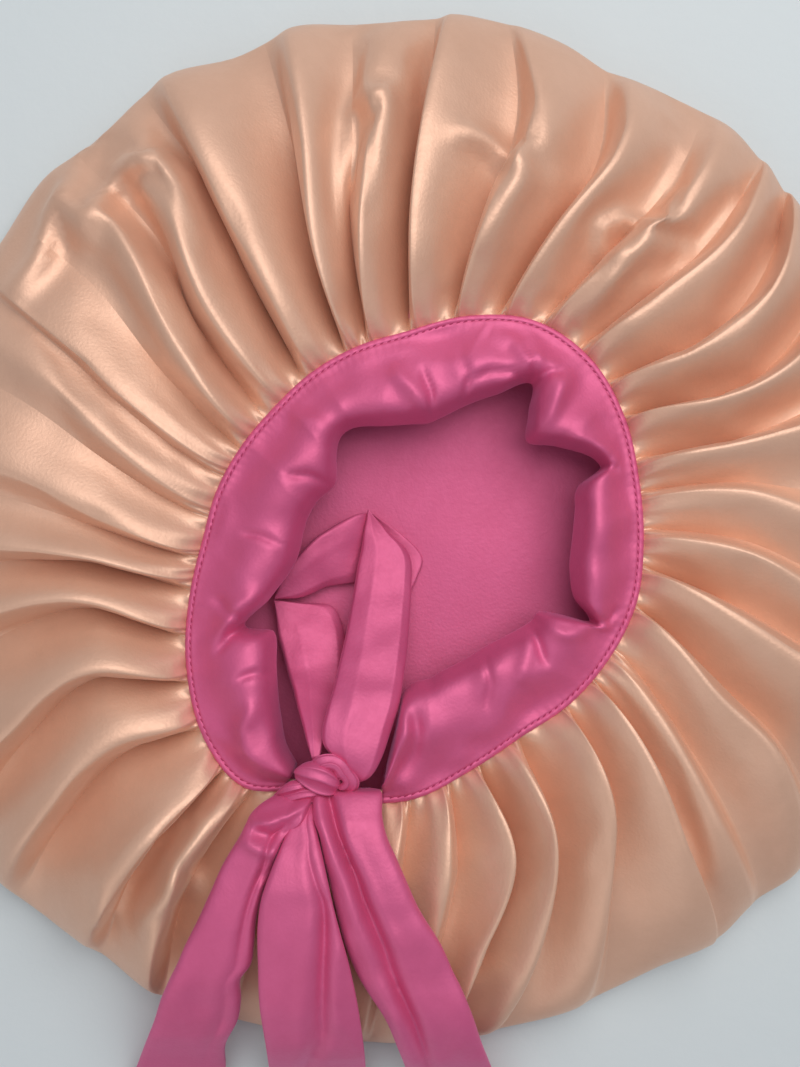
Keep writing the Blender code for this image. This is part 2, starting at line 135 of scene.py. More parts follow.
# Crown from the seam outwards and under: row of the section, share of the way out to the rim, share
# of the rise from SEAM_H to CROWN_H, share of that height which is kept, share of FOLD_H
CROWN_PROFILE = [
    (0, -0.04, -0.14, 1.00, 0.00), (1, 0.00, 0.00, 1.00, 0.00), (2, 0.03, 0.20, 1.00, 0.40),
    (3, 0.08, 0.45, 1.00, 0.80), (4, 0.18, 0.80, 1.00, 1.00), (5, 0.31, 1.00, 1.00, 1.00),
    (6, 0.45, 1.00, 0.99, 1.00), (7, 0.59, 1.00, 0.95, 1.00), (8, 0.72, 1.00, 0.86, 0.95),
    (9, 0.84, 1.00, 0.70, 0.85), (10, 0.94, 1.00, 0.49, 0.60), (11, 1.00, 1.00, 0.24, 0.15),
    (12, 0.985, 1.00, 0.09, 0.00), (13, 0.94, 1.00, 0.02, 0.00), (14, 0.80, 1.00, 0.00, 0.00),
    (15, 0.40, 1.00, 0.00, 0.00), (16, 0.00, 1.00, 0.00, 0.00),
]

# Folds: degrees at the seam, at 0.3 and 0.6 of the way out and at the rim, then share of FOLD_H at
# the same places, then where the crease after it lies, as a share of the way to the next fold, and
# how deep that crease is as a share of the fold
FOLDS = [
    (87.0, 88.0, 87.0, 85.0, 1.0, 1.1, 1.0, 0.9, 0.30, 1.3),
    (99.6, 97.0, 93.7, 92.0, 1.0, 1.1, 1.0, 0.4, 0.40, 0.9),
    (106.0, 106.3, 104.0, 102.5, 0.9, 1.1, 1.1, 1.1, 0.25, 1.1),
    (117.8, 117.6, 117.8, 117.5, 0.9, 1.0, 1.0, 1.0, 0.45, 1.1),
    (131.0, 129.0, 124.6, 124.8, 0.9, 1.1, 1.1, 0.1, 0.60, 0.9),
    (145.4, 138.6, 133.2, 134.6, 1.0, 1.0, 1.0, 0.3, 0.50, 0.8),
    (157.7, 153.0, 149.2, 147.0, 0.6, 0.5, 0.5, 0.3, 0.30, 0.7),
    (169.6, 161.0, 155.0, 153.0, 0.6, 0.5, 0.4, 0.2, 0.35, 0.8),
    (182.0, 174.5, 169.5, 168.0, 0.7, 0.6, 0.5, 0.3, 0.40, 0.8),
    (189.0, 182.0, 180.0, 179.0, 0.8, 0.9, 0.8, 0.6, 0.35, 1.0),
    (201.0, 189.5, 189.0, 194.0, 0.9, 1.0, 1.0, 0.6, 0.30, 1.0),
    (210.6, 200.5, 204.5, 212.0, 1.0, 1.1, 1.0, 0.7, 0.30, 1.0),
    (219.5, 213.5, 215.6, 220.0, 1.0, 1.2, 1.3, 0.8, 0.30, 1.1),
    (229.3, 228.0, 228.5, 231.0, 1.0, 1.2, 1.4, 0.9, 0.35, 1.1),
    (235.3, 234.3, 236.0, 240.0, 0.9, 1.1, 1.2, 0.6, 0.30, 1.1),
    (246.0, 246.0, 246.0, 247.5, 0.7, 0.7, 0.5, 0.3, 0.30, 1.0),
    (257.0, 256.5, 256.0, 256.0, 0.6, 0.6, 0.5, 0.3, 0.30, 1.0),
    (268.0, 266.0, 265.0, 264.0, 0.6, 0.6, 0.4, 0.3, 0.30, 1.0),
    (277.5, 275.5, 272.0, 269.0, 0.7, 0.7, 0.5, 0.3, 0.30, 1.0),
    (285.7, 287.2, 279.0, 272.0, 1.0, 1.1, 1.0, 0.6, 0.22, 1.1),
    (296.0, 294.8, 287.5, 278.5, 1.0, 1.1, 1.1, 0.8, 0.22, 1.0),
    (312.0, 306.6, 298.0, 289.0, 1.0, 1.1, 1.1, 1.0, 0.22, 0.9),
    (321.5, 316.5, 311.0, 306.5, 1.0, 1.0, 1.0, 1.0, 0.25, 0.7),
    (329.0, 322.5, 317.0, 312.5, 0.6, 0.7, 0.6, 0.5, 0.30, 0.9),
    (342.0, 333.0, 328.5, 318.5, 1.0, 1.0, 1.1, 1.0, 0.30, 1.1),
    (351.5, 346.0, 342.0, 339.0, 0.9, 0.9, 0.9, 0.5, 0.35, 1.0),
    (360.0, 357.0, 351.0, 347.0, 0.8, 0.8, 0.6, 0.4, 0.35, 0.9),
    (369.5, 367.5, 362.0, 361.0, 0.5, 0.5, 0.5, 0.3, 0.35, 0.9),
    (377.0, 375.6, 375.7, 377.0, 0.9, 0.9, 0.9, 0.7, 0.30, 1.0),
    (388.3, 383.3, 384.5, 393.0, 1.0, 1.1, 1.1, 0.9, 0.28, 1.1),
    (396.6, 392.5, 393.5, 402.0, 1.0, 1.1, 1.1, 1.0, 0.28, 1.0),
    (405.8, 403.5, 402.7, 406.0, 0.9, 0.9, 0.8, 0.8, 0.30, 1.0),
    (416.3, 412.5, 410.5, 412.0, 0.8, 0.9, 0.7, 0.5, 0.30, 1.0),
    (425.7, 423.5, 421.0, 424.0, 0.9, 1.1, 1.1, 1.0, 0.28, 1.1),
    (437.0, 435.0, 432.5, 437.5, 0.9, 1.0, 0.9, 0.5, 0.22, 1.0),
]
STATIONS = (0.0, 0.3, 0.6, 1.0)
CREST_ROUND = 0.50        # roundness of the crests, as a share of the way to the crease
VALLEY_DEPTH = 1.2
CROWN_LEAN = 0.25         # lean of the crests counter-clockwise, as a share of their height
CREST_LEVEL = 0.50        # height of the crests over the puff, as a share of FOLD_H
DRIFT = 0.28              # slow random change of the folds' heights, as a share of FOLD_H
PUCKER_H = 0.0011         # fine puckers at the seam
PUCKERS = 4               # of them to each fold
PUCKER_REACH = 0.07       # how far out they fade, as a share of the way to the rim
CRUMPLE_H = 0.0014        # small crumples on the folds
UNEVEN_H = 0.0007         # wide unevenness of the puff
RIM_ROW = 11              # row of CROWN_PROFILE at the rim
RIM_DOWN = 0.86           # share of the mesh's rings from the seam to the rim
CLOSE_ROW = 14            # row from which the floor closes to its middle

# Curled ends of the folds: mm of height, mm of width, then the line that each follows in mm
CROWN_RIDGES = [
    (3.8, 4.6, (-23.5, 88), (-22.5, 110), (-21.6, 141), (-20.8, 160), (-16, 167), (-9.3, 168),
     (-6.7, 162), (-8.6, 140)),
    (8.0, 5.2, (-74, 108), (-87, 136), (-94, 144), (-103, 146), (-111, 141), (-117, 131), (-122, 116)),
    (8.0, 5.6, (-118, 108), (-133, 133), (-138, 125), (-141, 108), (-152, 92)),
    (5.5, 4.6, (25.7, 105), (35, 121), (41.7, 134), (38, 144), (31, 150), (22, 153), (14, 146)),
    (5.0, 4.0, (64, 80), (75, 95), (82, 104), (89, 110), (96, 112)),
    (5.0, 3.8, (104, 119), (92, 118), (82, 120), (75, 116), (74, 108), (79, 103)),
    (5.5, 4.4, (-62, -91), (-75, -103), (-85, -118), (-86, -124), (-77, -131)),
    (4.5, 5.0, (-77, -131), (-89, -131), (-97, -135), (-103, -146)),
    (4.0, 5.0, (-85, -97), (-100, -112), (-110, -124), (-112, -141), (-106, -152)),
    (2.5, 6.0, (40, -160), (20, -172), (-4, -180)),
]


def smooth_curve(places, values, at):
    """Values at some places on a smooth curve through a table's rows."""
    slopes = np.empty(len(values))
    slopes[1:-1] = (values[2:] - values[:-2]) / (places[2:] - places[:-2])
    slopes[0] = (values[1] - values[0]) / (places[1] - places[0])
    slopes[-1] = (values[-1] - values[-2]) / (places[-1] - places[-2])
    at = np.clip(at, places[0], places[-1])
    k = np.clip(np.searchsorted(places, at, side="right") - 1, 0, len(places) - 2)
    span = places[k + 1] - places[k]
    t = (at - places[k]) / span
    return ((2 * t ** 3 - 3 * t ** 2 + 1) * values[k] + (t ** 3 - 2 * t ** 2 + t) * span * slopes[k]
            + (3 * t ** 2 - 2 * t ** 3) * values[k + 1] + (t ** 3 - t ** 2) * span * slopes[k + 1])


def column(rows, index):
    return np.array([row[index] for row in rows], float)


def table_curve(rows, index, at):
    return smooth_curve(column(rows, 0), column(rows, index), np.asarray(at, float))


def outline(rows, degrees):
    """Shares of a closed outline's mean radius at some degrees."""
    places, shares = column(rows, 0), column(rows, 1)
    places = np.concatenate(([places[-1] - 360], places, [places[0] + 360, places[1] + 360]))
    shares = np.concatenate(([shares[-1]], shares, shares[:2]))
    return smooth_curve(places, shares, np.mod(degrees, 360))


def seam_radius(degrees):
    return SEAM_R * outline(SEAM, degrees)


def rim_radius(degrees):
    return RIM_R * outline(RIM, degrees)


def sheet_grid(across, along):
    """A flat grid of cloth with its two counts of squares, and each vertex's share across and along."""
    bm = bmesh.new()
    bmesh.ops.create_grid(bm, x_segments=across, y_segments=along, size=0.5)
    shares = np.array([vert.co[:2] for vert in bm.verts]) + 0.5
    return bm, shares[:, 0], shares[:, 1]


def roughly(x, y, z):
    """Smooth random heights between about -1 and 1, the same in every run."""
    return np.array([noise.noise(Vector(point)) for point in zip(x, y, z)])


def finished(name, bm, points, material, close=False, wall=0.0):
    """The piece whose vertices go to the points; closed sheets are joined at their seam and pole."""
    for vert, point in zip(bm.verts, points):
        vert.co = point
    if close:
        bmesh.ops.remove_doubles(bm, verts=bm.verts, dist=1e-6)
    bmesh.ops.recalc_face_normals(bm, faces=bm.faces)
    mesh = bpy.data.meshes.new(name)
    bm.to_mesh(mesh)
    bm.free()
    mesh.shade_smooth()
    mesh.materials.append(material)
    piece = bpy.data.objects.new(name, mesh)
    bpy.context.collection.objects.link(piece)
    if wall:
        solidify = piece.modifiers.new("wall", "SOLIDIFY")
        solidify.thickness = wall
        solidify.offset = -1.0
    return piece


def ridge_heights(x, y, ridges):
    """Heights of ridges at some places: each is highest on its line and fades beside it and at its ends."""
    total = np.zeros_like(x)
    for ridge in ridges:
        high, wide = ridge[0] * MM, ridge[1] * MM
        line = np.array(ridge[2:], float) * MM
        nearest = np.full_like(x, np.inf)
        ended = np.zeros_like(x)
        for n, ((ax, ay), (bx, by)) in enumerate(zip(line, line[1:])):
            run_x, run_y = bx - ax, by - ay
            t = np.clip(((x - ax) * run_x + (y - ay) * run_y) / (run_x ** 2 + run_y ** 2), 0, 1)
            away = np.hypot(x - ax - t * run_x, y - ay - t * run_y)
            share = (n + t) / (len(line) - 1)
            ended = np.where(away < nearest, np.minimum(share, 1 - share), ended)
            nearest = np.minimum(nearest, away)
        total += high * np.clip(ended / 0.25, 0, 1) ** 0.7 * np.exp(-(nearest / wide) ** 2)
    return total


def crown_points(turn, down):
    """Places of the crown's cloth: turn is the share round it, down the share from seam to middle."""
    count = len(FOLDS)
    last_row = len(CROWN_PROFILE) - 1
    row = np.where(down < RIM_DOWN, down / RIM_DOWN * RIM_ROW,
                   RIM_ROW + (down - RIM_DOWN) / (1 - RIM_DOWN) * (last_row - RIM_ROW))
    out = table_curve(CROWN_PROFILE, 1, row)
    rise = table_curve(CROWN_PROFILE, 2, row)
    kept = table_curve(CROWN_PROFILE, 3, row)
    fold = table_curve(CROWN_PROFILE, 4, row)
    along = np.clip(np.where(row > RIM_ROW, 1.0, out), 0, 1)

    stations = np.array(STATIONS)
    place = turn * count
    k = np.minimum(np.floor(place).astype(int), count - 1)
    across = place - k
    t = np.zeros_like(turn)
    degrees = np.zeros_like(turn)
    crest = np.zeros_like(turn)
    dip = np.zeros_like(turn)
    for n in range(count):
        here = np.array(FOLDS[n])
        there = np.array(FOLDS[(n + 1) % count]) + (np.array([360] * 4 + [0] * 6) if n == count - 1 else 0)
        mine = k == n
        t[mine] = np.interp(across[mine], (0, 0.5, 1), (0, here[8], 1))
        a, s = along[mine], t[mine]
        degrees[mine] = ((1 - s) * smooth_curve(stations, here[0:4], a)
                         + s * smooth_curve(stations, there[0:4], a))
        ease = s * s * (3 - 2 * s)
        crest[mine] = ((1 - ease) * smooth_curve(stations, here[4:8], a)
                       + ease * smooth_curve(stations, there[4:8], a))
        dip[mine] = here[9]
    from_crest = 1 - np.abs(2 * across - 1)
    creased = np.hypot(from_crest, CREST_ROUND) - CREST_ROUND
    creased = creased / (math.hypot(1, CREST_ROUND) - CREST_ROUND)
    rounded = np.sin(0.5 * math.pi * from_crest) ** 2
    soft = np.clip(along * (2.4 - 0.9 * dip), 0, 1) ** 1.5
    valley = (1 - soft) * creased + soft * rounded
    wave = crest * (CREST_LEVEL - VALLEY_DEPTH * dip * valley)
    around = 2 * math.pi * turn
    ring_x, ring_y = np.cos(around), np.sin(around)
    drift = roughly(ring_x * 5, ring_y * 5, along * 2.0)
    wave += DRIFT * crest * drift
    height = kept * (SEAM_H + rise * (CROWN_H - SEAM_H)) + FOLD_H * fold * wave

    gathers = np.exp(-np.clip(out, 0, 1) / PUCKER_REACH) * np.clip(out / 0.012, 0, 1)
    shifted = 2.5 * roughly(ring_x * 8, ring_y * 8, 0 * along + 7)
    height += PUCKER_H * gathers * np.sin(2 * math.pi * place * PUCKERS + shifted)
    height += CRUMPLE_H * fold * roughly(ring_x * 15, ring_y * 15, along * 3.0)
    uneven = roughly(ring_x * 4, ring_y * 4, along * 7.0 + 9)
    height += UNEVEN_H * kept * np.clip(out / 0.05, 0, 1) * uneven

    inner, outer = seam_radius(degrees), rim_radius(degrees)
    radius = inner + out * (outer - inner)
    middle = np.clip((row - CLOSE_ROW) / (last_row - CLOSE_ROW), 0, 1)
    radius = radius * (1 - middle)
    sideways = CROWN_LEAN * FOLD_H * fold * (wave + 0.3)
    angle = np.radians(degrees) + sideways / np.maximum(radius, 0.05)
    level = (VIEW_HEIGHT - SEEN_LEVEL) / (VIEW_HEIGHT - CROWN_H)
    x, y = radius * np.cos(angle), radius * np.sin(angle)
    height += fold * ridge_heights(x * level, y * level, CROWN_RIDGES)
    return np.column_stack((x, y, np.maximum(height, 0.0)))


SATIN_METALLIC = 0.38
SATIN_SPECULAR = 0.8
SATIN_SHEEN = 0.25
GLOSS_CHANGE = 0.06       # how far the roughness changes from thread to thread, to both sides
WEAVE_H = 0.00028


def satin(name, deep, pale, sheen, roughness):
    """Satin whose colour drifts a little between two shades, with the grain of its fine weave."""
    material = bpy.data.materials.new(name)
    material.use_nodes = True
    nodes, link = material.node_tree.nodes, material.node_tree.links.new
    shader = nodes["Principled BSDF"]
    shader.inputs["Metallic"].default_value = SATIN_METALLIC
    shader.inputs["Specular IOR Level"].default_value = SATIN_SPECULAR
    shader.inputs["Sheen Weight"].default_value = SATIN_SHEEN
    shader.inputs["Sheen Roughness"].default_value = 0.35
    shader.inputs["Sheen Tint"].default_value = sheen
    place = nodes.new("ShaderNodeTexCoord").outputs["Object"]

    def noise_of(scale, detail, coarse=0.5):
        texture = nodes.new("ShaderNodeTexNoise")
        texture.inputs["Scale"].default_value = scale
        texture.inputs["Detail"].default_value = detail
        texture.inputs["Roughness"].default_value = coarse
        link(place, texture.inputs["Vector"])
        return texture.outputs["Fac"]

    shades = nodes.new("ShaderNodeMix")
    shades.data_type = "RGBA"
    shades.inputs["A"].default_value = deep
    shades.inputs["B"].default_value = pale
    link(noise_of(18, 7, 0.8), shades.inputs["Factor"])
    link(shades.outputs["Result"], shader.inputs["Base Color"])
    gloss = nodes.new("ShaderNodeMapRange")
    gloss.inputs["To Min"].default_value = roughness - GLOSS_CHANGE
    gloss.inputs["To Max"].default_value = roughness + GLOSS_CHANGE
    link(noise_of(450, 2), gloss.inputs["Value"])
    link(gloss.outputs["Result"], shader.inputs["Roughness"])
    weave = nodes.new("ShaderNodeBump")
    weave.inputs["Strength"].default_value = 0.35
    weave.inputs["Distance"].default_value = WEAVE_H
    link(noise_of(900, 2), weave.inputs["Height"])
    link(weave.outputs["Normal"], shader.inputs["Normal"])
    return material


peach_satin = satin("peach_satin_cloth", deep=(0.69, 0.39, 0.26, 1), pale=(0.86, 0.53, 0.38, 1),
                    sheen=(1.0, 0.82, 0.66, 1), roughness=0.47)

# The gathered cloth settles: a coarse net of it grows a little and buckles between the seam and the
# table under the air inside, and the fine mesh then takes over the net's moves.
NET_COLUMNS = 350
NET_RINGS = 42
NET_SHARE = 0.916         # share of the way down to where it lies on the table
NET_STEPS = 24
NET_GROWTH = 0.14
NET_FARTHEST = 0.012      # farthest that a place may move
NET_HELD = 4 * MM         # held as far as this from the seam
NET_HELD_DOWN = 0.87      # and from this share of the way down
NET_LOOSE = 6 * MM        # growing from this far out of the seam on
NET_EASE = 20 * MM        # and fully so after this much more


def settled_net():
    """Moves of the crown's net as cloth, by its rings and columns."""
    bm, turn, down = sheet_grid(NET_COLUMNS, NET_RINGS)
    down = down * NET_SHARE
    numbers = bm.verts.layers.float_vector.new("numbers")
    for vert, point, a, b in zip(bm.verts, crown_points(turn, down), turn, down):
        vert.co = point
        vert[numbers] = (a, b, 0)
    bmesh.ops.remove_doubles(bm, verts=bm.verts, dist=1e-6)
    bmesh.ops.recalc_face_normals(bm, faces=bm.faces)
    if sum(face.normal.z for face in bm.faces) < 0:
        bmesh.ops.reverse_faces(bm, faces=bm.faces)
    shares = np.array([vert[numbers][:2] for vert in bm.verts])
    mesh = bpy.data.meshes.new("net")
    bm.to_mesh(mesh)
    bm.free()
    net = bpy.data.objects.new("net", mesh)
    bpy.context.collection.objects.link(net)
    start = np.array([vert.co[:] for vert in mesh.vertices])
    radius = np.hypot(start[:, 0], start[:, 1])
    past_seam = radius - seam_radius(np.degrees(np.arctan2(start[:, 1], start[:, 0])))
    held = net.vertex_groups.new(name="held")
    loose = net.vertex_groups.new(name="loose")
    fixed = (past_seam < NET_HELD) | (shares[:, 1] > NET_HELD_DOWN)
    held.add([int(k) for k in np.nonzero(fixed)[0]], 1.0, "REPLACE")
    for k, weight in enumerate(np.clip((past_seam - NET_LOOSE) / NET_EASE, 0, 1)):
        loose.add([k], float(weight), "REPLACE")
    cloth = net.modifiers.new("settle", "CLOTH")
    cloth.collision_settings.use_collision = False
    cloth.point_cache.frame_start = 1
    cloth.point_cache.frame_end = NET_STEPS
    settings = cloth.settings
    settings.quality = 5
    settings.mass = 0.05
    settings.tension_stiffness = 15
    settings.compression_stiffness = 15
    settings.shear_stiffness = 5
    settings.bending_stiffness = 0.02
    settings.use_pressure = True
    settings.uniform_pressure_force = 2.5
    settings.effector_weights.gravity = 0.15
    settings.vertex_group_mass = held.name
    settings.vertex_group_shrink = loose.name
    settings.shrink_min = 0.0
    settings.shrink_max = -NET_GROWTH
    scene = bpy.context.scene
    scene.frame_start, scene.frame_end = 1, NET_STEPS
    for step in range(1, NET_STEPS + 1):
        scene.frame_set(step)
    settled = net.evaluated_get(bpy.context.evaluated_depsgraph_get()).data
    moves = np.array([vert.co[:] for vert in settled.vertices]) - start
    scene.frame_set(1)
    bpy.data.objects.remove(net)
    lengths = np.linalg.norm(moves, axis=1, keepdims=True)
    moves *= np.minimum(1, NET_FARTHEST / np.maximum(lengths, 1e-9))
    rows = np.rint(shares[:, 1] / NET_SHARE * NET_RINGS).astype(int)
    columns = np.rint(shares[:, 0] * NET_COLUMNS).astype(int) % NET_COLUMNS
    grid = np.zeros((NET_RINGS + 1, NET_COLUMNS, 3))
    grid[rows, columns] = moves
    return grid


def eased_between(before, low, high, beyond, t):
    """Values at the share t of the way from low to high on a smooth curve through all four."""
    return low + 0.5 * t * (high - before + t * (2 * before - 5 * low + 4 * high - beyond
                                                 + t * (3 * (low - high) + beyond - before)))


def net_moves(grid, turn, down):
    """Moves of the fine mesh's places, eased between those of the net."""
    x = turn * NET_COLUMNS
    y = np.clip(down / NET_SHARE, 0, 1) * NET_RINGS
    i = np.floor(x).astype(int)
    j = np.minimum(np.floor(y).astype(int), NET_RINGS - 1)
    rows = []
    for up in (-1, 0, 1, 2):
        ring = grid[np.clip(j + up, 0, NET_RINGS)]
        nearby = [ring[np.arange(len(i)), (i + aside) % NET_COLUMNS] for aside in (-1, 0, 1, 2)]
        rows.append(eased_between(*nearby, (x - i)[:, None]))
    return eased_between(*rows, (y - j)[:, None]) * (down <= NET_SHARE)[:, None]


crown_mesh, crown_turn, crown_down = sheet_grid(CROWN_COLUMNS, CROWN_RINGS)
crown_mesh.verts.index_update()
on_crease = np.abs(np.mod(crown_turn * len(FOLDS), 1) - 0.5) < 1e-4
for edge in crown_mesh.edges:
    edge.smooth = not all(on_crease[vert.index] for vert in edge.verts)
crown_places = crown_points(crown_turn, crown_down)
crown_places += net_moves(settled_net(), crown_turn, crown_down)
crown_places[:, 2] = np.maximum(crown_places[:, 2], 0)
crown = finished("crown_satin", crown_mesh, crown_places, peach_satin, close=True, wall=CROWN_WALL)
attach(crown, "root")
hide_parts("crown")

# Lining, the inner bag
# A bag of the same rose satin as the band, smooth inside and hanging from the seam; its floor lies
# flat on the crown's and is what shows in the opening.
LINING_WALL = 0.0008
LINING_SAG = 0.008
LINING_IN = 0.008
LINING_TOP = SEAM_H - 0.0016
LINING_FLOOR = 0.0016
LINING_SLACK = 0.0012     # height of the floor's wide, low waves
LINING_LAST = 11          # last row of LINING_PROFILE, and the row from which it is floor
LINING_FLAT = 8

# Lining from the seam outwards and under: row of the section, share of the way out, share of
# LINING_SAG, share of the height above its floor
LINING_PROFILE = [
    (0, -0.04, 0.00, 1.00), (1, 0.12, 0.70, 1.00), (2, 0.30, 1.00, 1.00), (3, 0.60, 1.00, 0.92),
    (4, 0.82, 1.00, 0.72), (5, 0.95, 1.00, 0.50), (6, 1.00, 1.00, 0.32), (7, 0.97, 1.00, 0.14),
    (8, 0.84, 1.00, 0.02), (9, 0.40, 1.00, 0.00), (10, -0.20, 1.00, 0.00), (11, -0.80, 1.00, 0.00),
]

rose_satin = satin("rose_satin_cloth", deep=(0.60, 0.078, 0.20, 1), pale=(0.78, 0.137, 0.325, 1),
                   sheen=(0.95, 0.45, 0.85, 1), roughness=0.56)

lining_mesh, lining_turn, lining_down = sheet_grid(240, 66)
lining_row = lining_down * LINING_LAST
lining_degrees = 360 * lining_turn
lining_out = table_curve(LINING_PROFILE, 1, lining_row)
inner, outer = seam_radius(lining_degrees), rim_radius(lining_degrees) - LINING_IN
radius = np.maximum(inner + lining_out * (outer - inner), 0.0)
radius[lining_down > 0.999] = 0.0
height = LINING_FLOOR + table_curve(LINING_PROFILE, 3, lining_row) * (
    LINING_TOP - LINING_SAG * table_curve(LINING_PROFILE, 2, lining_row) - LINING_FLOOR)
angle = np.radians(lining_degrees)
lining_x, lining_y = radius * np.cos(angle), radius * np.sin(angle)
slack = np.where(lining_row > LINING_FLAT, LINING_SLACK, 0.0)
height += slack * (1 + roughly(lining_x * 22, lining_y * 22, 0 * height))
lining = finished("lining_satin", lining_mesh, np.column_stack((lining_x, lining_y, height)), rose_satin,
                  close=True, wall=LINING_WALL)
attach(lining, "root")
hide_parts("lining")

# Band
# A wide strip of rose satin folded in half round the edges of crown and lining and topstitched along
# the seam. Its fold stands up in a soft roll that is pinched and crumpled here and there.
BAND_WIDTH = 0.032
BAND_PUFF = 0.009
BAND_DROP = 0.004
BAND_WALL = 0.0008
BAND_TOP = SEAM_H + 0.0014
BAND_BOTTOM = SEAM_H - 0.0044
WELT = 3 * MM             # width of the sewn welt
BAND_LAST = 17            # last row of BAND_SECTION
BAND_FOLD_ROW = 12.5      # row at the fold, below which the cloth is the underside
BAND_CREASE_H = 0.0019    # sharp crumples of the roll
BAND_DIMPLE_H = 0.0013    # and small soft ones
BAND_GATHER_H = 0.00012   # gathers along the stitches

# Degrees, share of BAND_WIDTH, share of BAND_PUFF, and where across the width the roll is highest
BAND = [
    (264, 0.30, 0.4, 0.6), (265.5, 0.70, 0.7, 0.6), (268, 1.24, 0.9, 0.7), (280, 1.20, 0.9, 0.6),
    (297, 1.08, 0.9, 0.6), (313, 1.06, 0.9, 0.6), (327, 0.95, 0.9, 0.65), (332, 0.92, 0.8, 0.7),
    (334.5, 0.66, 0.6, 0.7), (336, 0.36, 0.4, 0.7), (341, 0.65, 0.9, 0.7), (350, 0.79, 1.1, 0.7),
    (360, 0.78, 1.2, 0.7), (371, 0.73, 1.1, 0.7), (378, 0.66, 0.8, 0.7), (381, 0.36, 0.4, 0.7),
    (392, 0.80, 0.9, 0.7), (400, 1.13, 1.1, 0.7), (407, 0.90, 1.0, 0.6), (412, 0.62, 0.7, 0.6),
    (419, 0.93, 0.9, 0.6), (429, 1.13, 1.0, 0.6), (439, 1.19, 0.8, 0.7), (450, 1.05, 0.9, 0.7),
    (462, 0.95, 0.9, 0.7), (482, 0.76, 0.7, 0.7), (501, 1.09, 1.0, 0.6), (517, 1.07, 1.0, 0.6),
    (536, 1.10, 0.9, 0.6), (553, 1.18, 0.9, 0.6), (563, 1.00, 0.8, 0.6), (567, 0.72, 0.6, 0.6),
    (574, 1.14, 1.0, 0.6), (583.5, 1.13, 1.1, 0.6), (594, 0.87, 1.0, 0.6), (601, 0.44, 0.8, 0.6),
    (603.5, 0.28, 0.5, 0.6),
]

# Section from the sewn upper edge, round the fold, to the lower edge: row, mm from the seam, share of
# the rest of the width, share of the way down, share of BAND_DROP, mm of the welt's rise
BAND_SECTION = [
    (0, -0.9, 0.00, 0.0, 0.00, -1.6), (1, -0.6, 0.00, 0.0, 0.00, -0.1), (2, 0.2, 0.00, 0.0, 0.00, 0.45),
    (3, 1.0, 0.00, 0.0, 0.00, 0.4), (4, 1.5, 0.00, 0.0, 0.00, 0.1), (5, 2.1, 0.00, 0.0, 0.00, 0.35),
    (6, 3.0, 0.00, 0.0, 0.00, 0.4), (7, 3.0, 0.14, 0.0, 0.00, 0.3), (8, 3.0, 0.32, 0.0, 0.00, 0.0),
    (9, 3.0, 0.50, 0.0, 0.00, 0.0), (10, 3.0, 0.68, 0.0, 0.00, 0.0), (11, 3.0, 0.84, 0.05, 0.00, 0.0),
    (12, 3.0, 0.95, 0.3, 0.20, 0.0), (13, 3.0, 1.00, 0.7, 0.90, 0.0), (14, 3.0, 0.93, 1.0, 1.50, 0.0),
    (15, 3.0, 0.60, 1.0, 1.30, 0.0), (16, 3.0, 0.20, 1.0, 0.50, 0.0), (17, 0.0, 0.00, 1.0, 0.00, 0.0),
]

# Ridges and dents of the crumpled satin from above: mm of height, mm of width, then the line that
# each follows in mm
BAND_RIDGES = [
    (2.6, 3.2, (-3, 66), (-4, 61), (1, 55), (6, 49), (8, 45)),
    (3.0, 3.6, (30, 77), (38, 74), (45, 67), (47, 61)),
    (2.4, 2.6, (46, 39), (45, 47), (44, 55)),
    (2.6, 3.0, (49, 41), (54, 51), (60, 63)),
    (2.2, 2.6, (57, 38), (66, 36), (74, 31)),
    (2.0, 2.6, (44, -32), (43, -42), (40, -52)),
    (2.4, 2.6, (48, -31), (57, -34), (67, -33)),
    (2.2, 3.4, (-52, -18), (-62, -24), (-70, -36)),
    (3.0, 3.4, (-55, -58), (-61, -68), (-59, -77), (-50, -87)),
    (3.6, 2.2, (-2, -60), (-1, -69), (-3.4, -77), (-8, -85), (-12, -92)),
    (-2.0, 2.4, (2, -61), (3.5, -70), (2, -78), (-3, -87)),
    (1.8, 4.0, (-27, 38), (-34, 44), (-44, 46)),
    (-2.4, 1.6, (45, 58), (38, 62), (30, 62), (20, 58)), (-2.2, 1.6, (46, 57), (52, 62), (58, 62)),
    (-2.2, 1.5, (45, 58), (46, 66), (42, 73)), (-2.4, 1.6, (63, 23), (70, 27), (78, 27)),
    (-2.6, 1.8, (-58, -30), (-66, -26), (-72, -20)), (-2.2, 1.6, (-58, -30), (-66, -35), (-71, -42)),
    (-2.2, 1.6, (66, -31), (74, -29), (78, -24)), (-2.2, 1.6, (44, -28), (48, -38), (50, -46)),
    (-2.2, 1.8, (-27, 20), (-36, 24), (-46, 24)), (-2.2, 1.6, (9, 45), (8, 55), (4, 64)),
    (-2.2, 1.6, (-47, -50), (-56, -48), (-63, -50)), (-1.6, 1.6, (-46, -2), (-54, 2), (-62, 3)),
    (-1.6, 1.6, (20, 50), (22, 60), (18, 70)), (-1.6, 1.6, (28, -41), (30, -52), (28, -62)),
]


